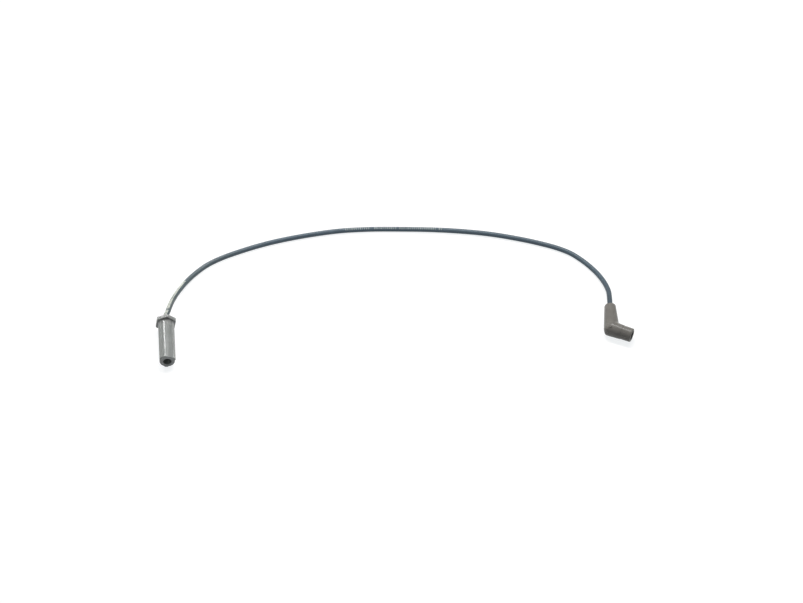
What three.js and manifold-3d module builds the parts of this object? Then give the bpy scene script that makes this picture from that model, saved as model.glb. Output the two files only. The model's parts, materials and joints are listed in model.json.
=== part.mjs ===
// A spark plug wire: a straight plug boot, an elbow coil boot and the ignition cable between them.
// Millimetres, +Z up. It lies on the floor z = 0 with the plug end at -X and the coil end at +X.
import * as THREE from "three";
import { mergeVertices } from "three/addons/utils/BufferGeometryUtils.js";
import Module from "manifold-3d";

const wasm = await Module();
wasm.setup();

// Cable
const cableDiameter = 7;
const coreDiameter = 2.2;
const seatGap = 0.3;
const coreTail = 2;
const cableSides = 12;
const cableSteps = 60;
const plugStraightRun = 8;
const coilStraightRun = 14;

// Stamped snap terminals, alike at both ends
const sheetThickness = 0.5;
const snapBore = 6.4;
const snapBarrelLength = 13;
const beadSetback = 4;
const beadDepth = 0.35;
const beadFlat = 1;
const beadRamp = 0.45;
const neckLength = 3;
const crimpLength = 10;
const cableStop = 1;
const seamGap = 0.9;
const strapWidth = 3.4;
const ringWire = 0.9;
const ringOpening = THREE.MathUtils.degToRad(70);

// Straight plug boot
const plugSocketBore = 10.8;
const plugSocketDepth = 25;
const plugSocketWall = 4.7;
const plugDraft = 0.5;
const plugCableGrip = 21.7;
const mouthLeadIn = 0.7;
const mouthEdge = 0.9;
const flangeCornerRadius = 14.7;
const flangeThickness = 6;
const flangeEdge = 0.5;
const flangeSides = 6;
const flangeTurn = THREE.MathUtils.degToRad(18);
const ribCount = 3;
const ribWidth = 4.8;
const ribHeight = 1.2;
const ribFlank = 0.9;
const ribStart = 0.4;

// Elbow coil boot
const legAngle = THREE.MathUtils.degToRad(114);
const coilSocketBore = 12;
const coilSocketDepth = 11;
const coilSocketWall = 3.4;
const coilSleeveLength = 14;
const coilSleeveStep = 0.35;
const coilDraft = 0.15;
const bendWall = 5.85;
const cornerRoom = 5;
const coilCableGrip = 27.7;
const coilCableWall = 4;
const coilEntryChamfer = 1;
const gateDiameter = 2.6;
const gateHeight = 0.6;
const gateDirection = new THREE.Vector3(-0.24, -0.41, 0.88).normalize();

// Where the two boots lie on the floor
const plugMouth = [-299.6, -51.6];
const plugYaw = THREE.MathUtils.degToRad(6.4);
const coilCorner = [291.8, 9.8];
const coilYaw = THREE.MathUtils.degToRad(-1.5);

// The cable's route between its straight ends: x, y and the height of its underside above the floor
const cableRoute = [
  [-306.5, 37, 11.6],
  [-304, 52.3, 10.6],
  [-300.2, 70.2, 7.6],
  [-295.3, 86.2, 4.6],
  [-287.9, 104.4, 1.9],
  [-276.1, 123.7, 0.4],
  [-261.1, 140.7, 0.1],
  [-240.9, 155.4, 0.1],
  [-216.8, 168.2, 0.1],
  [-189.9, 180.4, 0.1],
  [-161.9, 190.6, 0.1],
  [-119.9, 202.2, 0.1],
  [-77.9, 210.4, 0.1],
  [-34.9, 213.8, 0.1],
  [8.1, 214, 0.1],
  [50.1, 213, 0.1],
  [93.1, 209.7, 0.1],
  [135.1, 203.7, 0.1],
  [177.1, 193.4, 0.1],
  [205.1, 184.4, 0.1],
  [229.1, 174.7, 0.1],
  [247.1, 163.9, 0.1],
  [260.1, 151.6, 0.1],
  [272, 137.2, 0.2],
  [282.3, 120.6, 0.9],
  [289.8, 101.7, 2.5],
  [293.4, 83.6, 4.7],
];

// Sizes that follow from the driving dimensions
const cableRadius = cableDiameter / 2;
const coreRadius = coreDiameter / 2;
const jacketBoreRadius = coreRadius + seatGap;
const crimpInnerRadius = cableRadius + seatGap;
const crimpOuterRadius = crimpInnerRadius + sheetThickness;
const snapInnerRadius = snapBore / 2;
const snapOuterRadius = snapInnerRadius + sheetThickness;
const grooveRadius = snapOuterRadius - beadDepth;
const ringPathRadius = grooveRadius + seatGap + ringWire / 2;
const barrelChamberRadius = ringPathRadius + ringWire / 2 + seatGap;
const crimpChamberRadius = crimpOuterRadius + seatGap;
const strapChamberRadius = Math.hypot(crimpOuterRadius, strapWidth / 2) + seatGap;
const cableBoreRadius = cableRadius + seatGap;
const plugSocketRadius = plugSocketBore / 2;
const plugMouthRadius = plugSocketRadius + plugSocketWall;
const plugRootRadius = plugMouthRadius + plugDraft;
const plugCrimpStart = plugSocketDepth + snapBarrelLength + neckLength;
const plugCrimpEnd = plugCrimpStart + crimpLength;
const plugLength = plugCrimpEnd + plugCableGrip;
const ribLength = plugLength - flangeThickness / 2 - ribStart;
const coilSocketRadius = coilSocketBore / 2;
const coilMouthRadius = coilSocketRadius + coilSocketWall;
const coilNippleLength = coilSocketDepth + snapBarrelLength + cornerRoom;
const coilCableLength = cornerRoom + crimpLength + coilCableGrip;
const bendRadius = barrelChamberRadius + bendWall;
const coilEntryRadius = cableBoreRadius + coilCableWall;

const roundSegments = 36;
const sheetSegments = 24;
const wireSides = 8;
const edgeSteps = 2;
const overcut = 1;

function material(color, roughness, metalness) {
  return new THREE.MeshStandardMaterial({ color, roughness, metalness });
}

function toSolid(geometry) {
  const bare = geometry.clone();
  bare.deleteAttribute("normal");
  bare.deleteAttribute("uv");
  const merged = mergeVertices(bare);
  return new wasm.Manifold(
    new wasm.Mesh({
      numProp: 3,
      vertProperties: new Float32Array(merged.attributes.position.array),
      triVerts: new Uint32Array(merged.index.array),
    }),
  );
}

function toMesh(solid, name, look) {
  const result = solid.getMesh();
  const geometry = new THREE.BufferGeometry();
  geometry.setAttribute("position", new THREE.BufferAttribute(result.vertProperties, 3));
  geometry.setIndex(new THREE.BufferAttribute(result.triVerts, 1));
  geometry.computeVertexNormals();
  const mesh = new THREE.Mesh(geometry, look);
  mesh.name = name;
  return mesh;
}

// A solid of revolution about local Y. The profile lists [radius, y] with the material on its left.
function revolve(profile, segments = roundSegments) {
  const points = profile.map(([radius, y]) => new THREE.Vector2(radius, y));
  if (profile[0][0] > 0) {
    points.push(points[0].clone());
  }
  return new THREE.LatheGeometry(points, segments);
}

// A prism along local Y that ends at yEnd. The shape's x and y become local X and Z.
function prism(shape, length, yEnd, edge = 0) {
  const geometry = new THREE.ExtrudeGeometry(shape, {
    depth: length - 2 * edge,
    bevelEnabled: edge > 0,
    bevelSize: edge,
    bevelThickness: edge,
    bevelOffset: -edge,
    bevelSegments: edgeSteps,
  });
  geometry.rotateX(Math.PI / 2);
  return geometry.translate(0, yEnd - edge, 0);
}

// Rolled sheet metal about local Y, from the [inner radius, y] stations of its inside.
function rolledSheet(stations) {
  const outside = stations.map(([radius, y]) => [radius + sheetThickness, y]);
  return revolve([...outside, ...[...stations].reverse()], sheetSegments);
}

// Inside of the snap barrel from its mouth at yMouth towards +Y, with the bead that grips the post.
function snapStations(yMouth) {
  const beadMiddle = yMouth + beadSetback;
  const beadEdge = beadFlat / 2 + beadRamp;
  return [
    [snapInnerRadius, yMouth],
    [snapInnerRadius, beadMiddle - beadEdge],
    [snapInnerRadius - beadDepth, beadMiddle - beadFlat / 2],
    [snapInnerRadius - beadDepth, beadMiddle + beadFlat / 2],
    [snapInnerRadius, beadMiddle + beadEdge],
    [snapInnerRadius, yMouth + snapBarrelLength],
  ];
}

// The open seam of a rolled barrel, cut through its wall on the side that angle points to.
function seamCutter(yFrom, yTo, angle) {
  const depth = crimpOuterRadius + overcut;
  const cutter = new THREE.BoxGeometry(depth, yTo - yFrom + 2 * overcut, seamGap);
  cutter.translate(depth / 2 + coreRadius, (yFrom + yTo) / 2, 0);
  return cutter.rotateY(-angle);
}

class RingPath extends THREE.Curve {
  constructor(radius, y, middle) {
    super();
    this.radius = radius;
    this.y = y;
    this.from = middle + ringOpening / 2;
    this.sweep = 2 * Math.PI - ringOpening;
  }

  getPoint(t) {
    const angle = this.from + this.sweep * t;
    return new THREE.Vector3(
      this.radius * Math.cos(angle),
      this.y,
      this.radius * Math.sin(angle),
    );
  }
}

// The spring wire ring that sits in the bead's groove, open towards the seam.
function snapRing(yMouth, seamAngle) {
  const section = new THREE.Shape().absarc(0, 0, ringWire / 2, 0, 2 * Math.PI);
  return new THREE.ExtrudeGeometry(section, {
    extrudePath: new RingPath(ringPathRadius, yMouth + beadSetback, seamAngle),
    steps: roundSegments,
    curveSegments: wireSides / 2,
  });
}

function flangeOutline() {
  const corners = [];
  for (let i = 0; i < flangeSides; i += 1) {
    const angle = flangeTurn + (i * 2 * Math.PI) / flangeSides;
    const corner = new THREE.Vector2(Math.cos(angle), Math.sin(angle));
    corners.push(corner.multiplyScalar(flangeCornerRadius));
  }
  return new THREE.Shape(corners);
}

function plugBore() {
  return revolve([
    [0, -overcut],
    [plugSocketRadius + mouthLeadIn + overcut, -overcut],
    [plugSocketRadius, mouthLeadIn],
    [plugSocketRadius, plugSocketDepth - seatGap],
    [barrelChamberRadius, plugSocketDepth - seatGap],
    [barrelChamberRadius, plugCrimpStart - neckLength],
    [crimpChamberRadius, plugCrimpStart],
    [crimpChamberRadius, plugCrimpEnd + seatGap],
    [cableBoreRadius, plugCrimpEnd + seatGap],
    [cableBoreRadius, plugLength + overcut],
    [0, plugLength + overcut],
  ]);
}

// A grip rib from the mouth to the flange, in line with every second corner of the flange.
function gripRib(index) {
  const top = plugMouthRadius + ribHeight;
  const root = plugSocketRadius + plugSocketWall / 2;
  const shape = new THREE.Shape([
    new THREE.Vector2(-ribWidth / 2 - ribFlank, root),
    new THREE.Vector2(ribWidth / 2 + ribFlank, root),
    new THREE.Vector2(ribWidth / 2, top),
    new THREE.Vector2(-ribWidth / 2, top),
  ]);
  const angle = flangeTurn + (index * 2 * Math.PI) / ribCount;
  return prism(shape, ribLength, ribStart + ribLength).rotateY(Math.PI / 2 - angle);
}

function makePlugBoot() {
  const body = revolve([
    [0, 0],
    [plugMouthRadius - mouthEdge, 0],
    [plugMouthRadius, mouthEdge],
    [plugRootRadius, plugLength - flangeThickness / 2],
    [0, plugLength - flangeThickness / 2],
  ]);
  const flange = prism(flangeOutline(), flangeThickness, plugLength, flangeEdge);
  let solid = toSolid(body).add(toSolid(flange));
  for (let i = 0; i < ribCount; i += 1) {
    solid = solid.add(toSolid(gripRib(i)));
  }
  return toMesh(solid.subtract(toSolid(plugBore())), "plug_boot", material(0x8f9694, 0.5, 0));
}

function makePlugTerminal() {
  const sheet = rolledSheet([
    ...snapStations(plugSocketDepth),
    [crimpInnerRadius, plugCrimpStart],
    [crimpInnerRadius, plugCrimpEnd],
  ]);
  const seam = seamCutter(plugSocketDepth, plugCrimpEnd, -Math.PI / 2);
  return toMesh(
    toSolid(sheet).subtract(toSolid(seam)),
    "plug_terminal",
    material(0xb9b6ab, 0.35, 1),
  );
}

function makeSnapRing(name, yMouth, seamAngle) {
  return toMesh(toSolid(snapRing(yMouth, seamAngle)), name, material(0xc4c6c8, 0.25, 1));
}

// The nipple leg is drawn along local Y like the cable leg, then swung round the corner.
function toNipple(geometry) {
  return geometry.rotateZ(-legAngle);
}

function coilLegs() {
  const sleeveStart = coilNippleLength - coilSleeveLength;
  const sleeveRootRadius = coilMouthRadius + coilDraft;
  const cableLeg = revolve([
    [0, 0],
    [bendRadius - coilDraft, 0],
    [coilEntryRadius, coilCableLength - coilEntryChamfer],
    [coilEntryRadius - coilEntryChamfer, coilCableLength],
    [0, coilCableLength],
  ]);
  const nippleLeg = revolve([
    [0, 0],
    [bendRadius - coilDraft, 0],
    [sleeveRootRadius + coilSleeveStep, sleeveStart - coilSleeveStep],
    [sleeveRootRadius, sleeveStart],
    [coilMouthRadius, coilNippleLength - mouthEdge],
    [coilMouthRadius - mouthEdge, coilNippleLength],
    [0, coilNippleLength],
  ]);
  const corner = new THREE.SphereGeometry(bendRadius, roundSegments, roundSegments / 2);
  return toSolid(cableLeg).add(toSolid(toNipple(nippleLeg))).add(toSolid(corner));
}

// The stub that the moulding gate leaves on the corner.
function gateStub() {
  const rootHeight = bendWall / 2;
  const stub = new THREE.CylinderGeometry(
    gateDiameter / 2,
    gateDiameter / 2,
    rootHeight + gateHeight,
    wireSides * 2,
  );
  stub.translate(0, bendRadius + (gateHeight - rootHeight) / 2, 0);
  const turn = new THREE.Quaternion().setFromUnitVectors(new THREE.Vector3(0, 1, 0), gateDirection);
  return stub.applyQuaternion(turn);
}

function coilBores() {
  const socketBottom = coilNippleLength - coilSocketDepth + seatGap;
  const nippleBore = revolve([
    [0, 0],
    [barrelChamberRadius, 0],
    [barrelChamberRadius, socketBottom],
    [coilSocketRadius, socketBottom],
    [coilSocketRadius, coilNippleLength - mouthLeadIn],
    [coilSocketRadius + mouthLeadIn + overcut, coilNippleLength + overcut],
    [0, coilNippleLength + overcut],
  ]);
  const cableBore = revolve([
    [0, 0],
    [strapChamberRadius, 0],
    [strapChamberRadius, cornerRoom + crimpLength + seatGap],
    [cableBoreRadius, cornerRoom + crimpLength + seatGap],
    [cableBoreRadius, coilCableLength + overcut],
    [0, coilCableLength + overcut],
  ]);
  const cornerRadius = Math.max(barrelChamberRadius, strapChamberRadius) + seatGap;
  const corner = new THREE.SphereGeometry(cornerRadius, roundSegments, roundSegments / 2);
  return toSolid(cableBore).add(toSolid(toNipple(nippleBore))).add(toSolid(corner));
}

function makeCoilBoot() {
  const solid = coilLegs().add(toSolid(gateStub())).subtract(coilBores());
  return toMesh(solid, "coil_boot", material(0x7d7973, 0.45, 0));
}

// The strap that carries the terminal round the corner, along the outside of the bend.
function cornerStrap() {
  const along = new THREE.Vector2(Math.sin(legAngle), Math.cos(legAngle));
  const out = new THREE.Vector2(along.y, -along.x);
  const onNipple = (distance, offset) =>
    along.clone().multiplyScalar(distance).addScaledVector(out, offset);
  const lap = cornerRoom + neckLength;
  const outline = [
    new THREE.Vector2(-crimpOuterRadius, lap),
    new THREE.Vector2(-crimpOuterRadius, 0),
    onNipple(0, snapOuterRadius),
    onNipple(lap, snapOuterRadius),
    onNipple(lap, snapInnerRadius),
    onNipple(sheetThickness / 2, snapInnerRadius),
    new THREE.Vector2(-crimpInnerRadius, sheetThickness / 2),
    new THREE.Vector2(-crimpInnerRadius, lap),
  ];
  const strap = new THREE.ExtrudeGeometry(new THREE.Shape(outline), {
    depth: strapWidth,
    bevelEnabled: false,
  });
  return strap.translate(0, 0, -strapWidth / 2);
}

// In the elbow the barrel's mouth faces out of the nipple, so its stations are mirrored along Y.
function coilSnapBarrel() {
  const mouth = cornerRoom + snapBarrelLength;
  const stations = snapStations(0).map(([radius, y]) => [radius, mouth - y]);
  return rolledSheet(stations.reverse());
}

function makeCoilTerminal() {
  const mouth = cornerRoom + snapBarrelLength;
  const crimpEnd = cornerRoom + crimpLength;
  const crimp = rolledSheet([
    [crimpInnerRadius, cornerRoom],
    [crimpInnerRadius, crimpEnd],
  ]);
  const crimpSolid = toSolid(crimp).subtract(toSolid(seamCutter(cornerRoom, crimpEnd, 0)));
  const barrelSeam = seamCutter(cornerRoom, mouth, Math.PI);
  const barrelSolid = toSolid(toNipple(coilSnapBarrel())).subtract(toSolid(toNipple(barrelSeam)));
  const solid = crimpSolid.add(barrelSolid).add(toSolid(cornerStrap()));
  return toMesh(solid, "coil_terminal", material(0xb9b6ab, 0.35, 1));
}

// Lets a boot down onto the floor by its lowest point.
function seatOnFloor(group) {
  group.updateMatrixWorld(true);
  group.position.z -= new THREE.Box3().setFromObject(group, true).min.z;
  group.updateMatrixWorld(true);
}

// The plug boot rests on its lowest rib and on the flange corner behind it, so its mouth dips. Rib
// and corner point a little to one side of straight down, and one edge of the rib is the lowest.
function plugEnd() {
  const aside = Math.abs(Math.PI / 6 - flangeTurn);
  const ribDepth = (plugMouthRadius + ribHeight) * Math.cos(aside) + (ribWidth / 2) * Math.sin(aside);
  const drop = flangeCornerRadius * Math.cos(aside) - ribDepth;
  const span = plugLength - flangeThickness - ribStart;
  const group = new THREE.Group();
  group.add(makePlugBoot());
  group.add(makePlugTerminal());
  group.add(makeSnapRing("plug_snap_ring", plugSocketDepth, -Math.PI / 2));
  group.rotation.set(Math.atan(drop / span), 0, plugYaw, "ZXY");
  group.position.set(plugMouth[0], plugMouth[1], 0);
  seatOnFloor(group);
  return group;
}

function coilEnd() {
  const group = new THREE.Group();
  const ringMouth = cornerRoom + snapBarrelLength - 2 * beadSetback;
  const ring = makeSnapRing("coil_snap_ring", ringMouth, Math.PI);
  ring.rotation.z = -legAngle;
  group.add(makeCoilBoot());
  group.add(makeCoilTerminal());
  group.add(ring);
  group.rotation.z = coilYaw;
  group.position.set(coilCorner[0], coilCorner[1], 0);
  seatOnFloor(group);
  return group;
}

// A path that passes through given stations, so that two tubes along it stay concentric.
class StationPath extends THREE.Curve {
  constructor(points, tangents) {
    super();
    this.points = points;
    this.tangents = tangents;
  }

  getPointAt(u) {
    return this.points[Math.round(u * (this.points.length - 1))].clone();
  }

  getTangentAt(u) {
    return this.tangents[Math.round(u * (this.points.length - 1))].clone();
  }
}

// The cable's centre line, from inside the plug terminal's crimp to inside the coil terminal's.
function cableStations(plug, coil) {
  const onPlug = (y) => plug.localToWorld(new THREE.Vector3(0, y, 0));
  const onCoil = (y) => coil.localToWorld(new THREE.Vector3(0, y, 0));
  const coilCableStop = cornerRoom + cableStop;
  const route = new THREE.CatmullRomCurve3([
    onPlug(plugCrimpStart + cableStop),
    onPlug(plugLength),
    onPlug(plugLength + plugStraightRun / 2),
    onPlug(plugLength + plugStraightRun),
    ...cableRoute.map(([x, y, lift]) => new THREE.Vector3(x, y, lift + cableRadius)),
    onCoil(coilCableLength + coilStraightRun),
    onCoil(coilCableLength + coilStraightRun / 2),
    onCoil(coilCableLength),
    onCoil(coilCableStop),
  ]);
  const points = route.getSpacedPoints(cableSteps);
  const tangents = points.map((_, i) => route.getTangentAt(i / cableSteps));
  return { points, tangents };
}

function tubeAlong(stations, radius, boreRadius) {
  const section = new THREE.Shape().absarc(0, 0, radius, 0, 2 * Math.PI);
  if (boreRadius > 0) {
    section.holes.push(new THREE.Path().absarc(0, 0, boreRadius, 0, 2 * Math.PI));
  }
  const tube = new THREE.ExtrudeGeometry(section, {
    extrudePath: new StationPath(stations.points, stations.tangents),
    steps: stations.points.length - 1,
    curveSegments: cableSides / 2,
  });
  return toSolid(tube);
}

// The conductor core runs on past the jacket at both ends, into the terminals.
function withTails({ points, tangents }) {
  const last = points.length - 1;
  return {
    points: [
      points[0].clone().addScaledVector(tangents[0], -coreTail),
      ...points,
      points[last].clone().addScaledVector(tangents[last], coreTail),
    ],
    tangents: [tangents[0], ...tangents, tangents[last]],
  };
}

function cable(plug, coil) {
  const stations = cableStations(plug, coil);
  const group = new THREE.Group();
  group.add(
    toMesh(
      tubeAlong(stations, cableRadius, jacketBoreRadius),
      "ignition_cable",
      material(0x546470, 0.5, 0),
    ),
  );
  group.add(
    toMesh(tubeAlong(withTails(stations), coreRadius, 0), "conductor_core", material(0x1d1d1f, 0.8, 0)),
  );
  return group;
}

const sparkPlugWire = new THREE.Group();
const plug = plugEnd();
const coil = coilEnd();
sparkPlugWire.add(plug, coil, cable(plug, coil));

export default sparkPlugWire;
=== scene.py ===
# %% [markdown]
# # A spark plug wire on a pale floor
# The lead carries the spark from an ignition coil to a plug. It is a soft cable with a moulded
# silicone boot at each end, and a stamped terminal hidden in each boot. This lesson loads the
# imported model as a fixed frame, then makes the visible skin of every piece around it.

# %% Load the frame
import json
import math

import bmesh
import bpy
import numpy as np
from mathutils import Matrix, Vector


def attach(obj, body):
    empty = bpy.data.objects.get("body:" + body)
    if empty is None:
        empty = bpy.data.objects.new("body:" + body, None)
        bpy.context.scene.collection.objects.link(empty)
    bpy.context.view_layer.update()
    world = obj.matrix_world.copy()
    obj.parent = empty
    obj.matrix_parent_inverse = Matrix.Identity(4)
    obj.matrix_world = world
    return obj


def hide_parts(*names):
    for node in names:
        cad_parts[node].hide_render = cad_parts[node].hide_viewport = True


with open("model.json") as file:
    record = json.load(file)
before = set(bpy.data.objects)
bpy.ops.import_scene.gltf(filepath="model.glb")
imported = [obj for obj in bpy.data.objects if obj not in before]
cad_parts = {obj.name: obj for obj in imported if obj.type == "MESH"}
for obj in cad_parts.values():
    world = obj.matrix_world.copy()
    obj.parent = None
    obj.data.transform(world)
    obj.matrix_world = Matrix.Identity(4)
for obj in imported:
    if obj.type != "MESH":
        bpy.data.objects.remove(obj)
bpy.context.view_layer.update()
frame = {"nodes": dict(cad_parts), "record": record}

MM = 0.001
UP = Vector((0, 0, 1))
mounts = {mount["name"]: mount for mount in frame["record"]["mounts"]}
print("nodes:", sorted(frame["nodes"]))

# %% [markdown]
# ## Where the two boots lie
# Each boot has its own local frame: Y runs along the boot and Z points up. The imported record
# gives a flat mount on each boot's mouth, so both frames come from there and stay in step with
# the model.

# %% Boot frames
FACE_POINT_ABOVE_PLUG_AXIS = 7.6 * MM
FACE_POINT_ABOVE_COIL_AXIS = 7.4 * MM
COIL_NIPPLE_LENGTH = 29 * MM
LEG_ANGLE = math.radians(114)


def frame_along(origin, direction):
    """A local frame at origin whose Y is direction and whose X is level."""
    y = Vector(direction).normalized()
    x = y.cross(UP).normalized()
    z = x.cross(y)
    return Matrix.Translation(origin) @ Matrix((x, y, z)).transposed().to_4x4()


plug_face = mounts["plug_mouth_face"]
plug_axis = -Vector(plug_face["axis"])
plug_frame = frame_along(Vector(plug_face["pos_m"]), plug_axis)
plug_frame = plug_frame @ Matrix.Translation((0, 0, -FACE_POINT_ABOVE_PLUG_AXIS))

coil_face = mounts["coil_mouth_face"]
nipple_axis = Vector(coil_face["axis"])
coil_corner = Vector(coil_face["pos_m"]) - UP * FACE_POINT_ABOVE_COIL_AXIS
coil_corner -= nipple_axis * COIL_NIPPLE_LENGTH
coil_frame = frame_along(coil_corner, Matrix.Rotation(LEG_ANGLE, 3, "Z") @ nipple_axis)
print("plug mouth at", plug_frame.translation, "coil corner at", coil_frame.translation)

# %% [markdown]
# ## The camera
# The photograph looks down on the lead at 45 degrees through a long lens, so the far side of the
# arch is hardly smaller than the boots. The distance follows from the lens and from how many
# millimetres of floor one pixel covers in the middle of the picture.

# %% Camera
IMAGE_WIDTH = 803
LENS = 85.0
SENSOR_WIDTH = 36.0
ELEVATION = math.radians(45)
FLOOR_PER_PIXEL = 1.37 * MM
LOOK_AT = Vector((9.5, 72.3, 0.0)) * MM

distance = IMAGE_WIDTH * LENS / SENSOR_WIDTH * FLOOR_PER_PIXEL
camera_data = bpy.data.cameras.new("product_camera")
camera_data.lens = LENS
camera_data.sensor_width = SENSOR_WIDTH
camera = bpy.data.objects.new("product_camera", camera_data)
camera.location = LOOK_AT + distance * Vector((0, -math.cos(ELEVATION), math.sin(ELEVATION)))
camera.rotation_euler = (math.pi / 2 - ELEVATION, 0, 0)
bpy.context.scene.collection.objects.link(camera)
bpy.context.scene.camera = camera
print("camera distance", round(distance, 3), "m")

# %% [markdown]
# ## Meshes from rings
# Nearly every piece here is a skin over a row of closed rings: a tube, a boot, a rolled sheet.
# One helper joins neighbouring rings with quads. It can also close the row on itself, which makes
# a wall with an inside and an outside, or cap both ends.


# %% Ring skin helper
SHARP_ANGLE = math.radians(38)


def mesh_object(name, points=(), edges=(), faces=()):
    """A smooth mesh over plain points, linked to the scene."""
    mesh = bpy.data.meshes.new(name)
    mesh.from_pydata([tuple(point) for point in points], edges, faces)
    mesh.shade_smooth()
    piece = bpy.data.objects.new(name, mesh)
    bpy.context.scene.collection.objects.link(piece)
    return piece


def skin(name, rings, closed_row=False):
    """A closed mesh over rings that turn anticlockwise as seen along the row."""
    count = len(rings[0])
    starts = [i * count for i in range(len(rings))]
    pairs = list(zip(starts, starts[1:]))
    if closed_row:
        pairs.append((starts[-1], starts[0]))
    faces = []
    for here, there in pairs:
        for j in range(count):
            k = (j + 1) % count
            faces.append((here + j, there + j, there + k, here + k))
    if not closed_row:
        faces.append(tuple(range(count)))
        faces.append(tuple(reversed(range(starts[-1], starts[-1] + count))))
    piece = mesh_object(name, [point for ring in rings for point in ring], faces=faces)
    piece.data.set_sharp_from_angle(angle=SHARP_ANGLE)
    return piece


def join(name, parts):
    """One piece from several, with the parts taken away."""
    joined = bmesh.new()
    for part in parts:
        joined.from_mesh(part.data)
        bpy.data.objects.remove(part)
    piece = mesh_object(name)
    joined.to_mesh(piece.data)
    joined.free()
    return piece


def place(points, local_frame):
    """Turn rings of local points into the shared frame."""
    return [[local_frame @ Vector(point) for point in ring] for ring in points]


# %% [markdown]
# ## The cable's route
# A silicone cable 7 mm thick leaves each boot straight, sinks to the floor under its own weight
# and lies there in one wide arch. The points between the straight ends were read off the
# photograph. A centripetal Catmull-Rom curve passes through all of them without loops.

# %% Cable route
CABLE_RADIUS = 3.5 * MM
PLUG_LENGTH = 72.7 * MM
PLUG_CABLE_STOP = 42 * MM
COIL_CABLE_LENGTH = 42.7 * MM
COIL_CABLE_STOP = 6 * MM
PLUG_STRAIGHT_RUN = 8 * MM
COIL_STRAIGHT_RUN = 14 * MM
FLOOR_ROUTE = [
    (-306.5, 37, 11.6), (-304, 52.3, 10.6), (-300.2, 70.2, 7.6), (-295.3, 86.2, 4.6),
    (-287.9, 104.4, 1.9), (-276.1, 123.7, 0.4), (-261.1, 140.7, 0.1), (-240.9, 155.4, 0.1),
    (-216.8, 168.2, 0.1), (-189.9, 180.4, 0.1), (-161.9, 190.6, 0.1), (-119.9, 202.2, 0.1),
    (-77.9, 210.4, 0.1), (-34.9, 213.8, 0.1), (8.1, 214, 0.1), (50.1, 213, 0.1),
    (93.1, 209.7, 0.1), (135.1, 203.7, 0.1), (177.1, 193.4, 0.1), (205.1, 184.4, 0.1),
    (229.1, 174.7, 0.1), (247.1, 163.9, 0.1), (260.1, 151.6, 0.1), (272, 137.2, 0.2),
    (282.3, 120.6, 0.9), (289.8, 101.7, 2.5), (293.4, 83.6, 4.7),
]


def along(local_frame, *distances):
    """Points on a boot's own Y axis, in the shared frame."""
    return [local_frame @ Vector((0, distance, 0)) for distance in distances]


route = along(
    plug_frame,
    PLUG_CABLE_STOP,
    PLUG_LENGTH,
    PLUG_LENGTH + PLUG_STRAIGHT_RUN / 2,
    PLUG_LENGTH + PLUG_STRAIGHT_RUN,
)
route += [Vector((x, y, lift)) * MM + UP * CABLE_RADIUS for x, y, lift in FLOOR_ROUTE]
route += along(
    coil_frame,
    COIL_CABLE_LENGTH + COIL_STRAIGHT_RUN,
    COIL_CABLE_LENGTH + COIL_STRAIGHT_RUN / 2,
    COIL_CABLE_LENGTH,
    COIL_CABLE_STOP,
)
print("route points:", len(route))


# %% Smooth centre line
STEPS_BETWEEN_POINTS = 40
LINE_STEP = 2 * MM


def catmull_rom(points, per_segment):
    """Points on the centripetal Catmull-Rom curve through all the given points."""
    ends = [2 * points[0] - points[1], *points, 2 * points[-1] - points[-2]]
    line = []
    for p0, p1, p2, p3 in zip(ends, ends[1:], ends[2:], ends[3:]):
        t1 = (p1 - p0).length ** 0.5
        t2 = t1 + (p2 - p1).length ** 0.5
        t3 = t2 + (p3 - p2).length ** 0.5
        for step in range(per_segment):
            t = t1 + (t2 - t1) * step / per_segment
            a1 = p0.lerp(p1, t / t1)
            a2 = p1.lerp(p2, (t - t1) / (t2 - t1))
            a3 = p2.lerp(p3, (t - t2) / (t3 - t2))
            b1 = a1.lerp(a2, t / t2)
            b2 = a2.lerp(a3, (t - t1) / (t3 - t1))
            line.append(b1.lerp(b2, (t - t1) / (t2 - t1)))
    return line + [points[-1].copy()]


def resample(line, spacing):
    """The same line with points at even steps along it."""
    coords = np.array([tuple(p) for p in line])
    reach = np.concatenate([[0], np.cumsum(np.linalg.norm(np.diff(coords, axis=0), axis=1))])
    steps = round(reach[-1] / spacing)
    wanted = np.linspace(0, reach[-1], steps + 1)
    columns = [np.interp(wanted, reach, coords[:, axis]) for axis in range(3)]
    return [Vector(point) for point in zip(*columns)], reach[-1]


centre_line, cable_length = resample(catmull_rom(route, STEPS_BETWEEN_POINTS), LINE_STEP)
print("cable length", round(cable_length, 4), "m")

# %% [markdown]
# ## The cable
# The jacket is extruded silicone with a hole for the conductor, so it is a plain round pipe, and
# its looks are all in its colour and fine marks. It could be a curve with a bevel, but a mesh takes a
# UV map of our own: U is the distance along the cable in metres, and V runs once round it from
# underneath. The skin goes out along the jacket's outside and comes back along its bore.

# %% Cable jacket
CORE_RADIUS = 1.1 * MM
BORE_RADIUS = 1.4 * MM
CABLE_SIDES = 40
BORE_SIDE_STEP = 6


def line_tangents(line):
    """The direction of the line at each of its points."""
    last = len(line) - 1
    return [(line[min(i + 1, last)] - line[max(i - 1, 0)]).normalized() for i in range(last + 1)]


def ring_around(centre, tangent, radius, sides):
    """A ring square to the tangent that starts underneath."""
    side = tangent.cross(UP).normalized()
    over = side.cross(tangent)
    ring = []
    for j in range(sides):
        angle = -math.pi / 2 + 2 * math.pi * j / sides
        ring.append(centre + radius * (math.cos(angle) * side + math.sin(angle) * over))
    return ring


tangents = line_tangents(centre_line)
steps_along = list(range(len(centre_line)))
bore_steps = steps_along[::-BORE_SIDE_STEP]
if bore_steps[-1] != 0:
    bore_steps.append(0)
stations = [(i, CABLE_RADIUS) for i in steps_along] + [(i, BORE_RADIUS) for i in bore_steps]
rings = [ring_around(centre_line[i], tangents[i], radius, CABLE_SIDES) for i, radius in stations]
cable = skin("ignition_cable_jacket", rings, closed_row=True)

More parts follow.
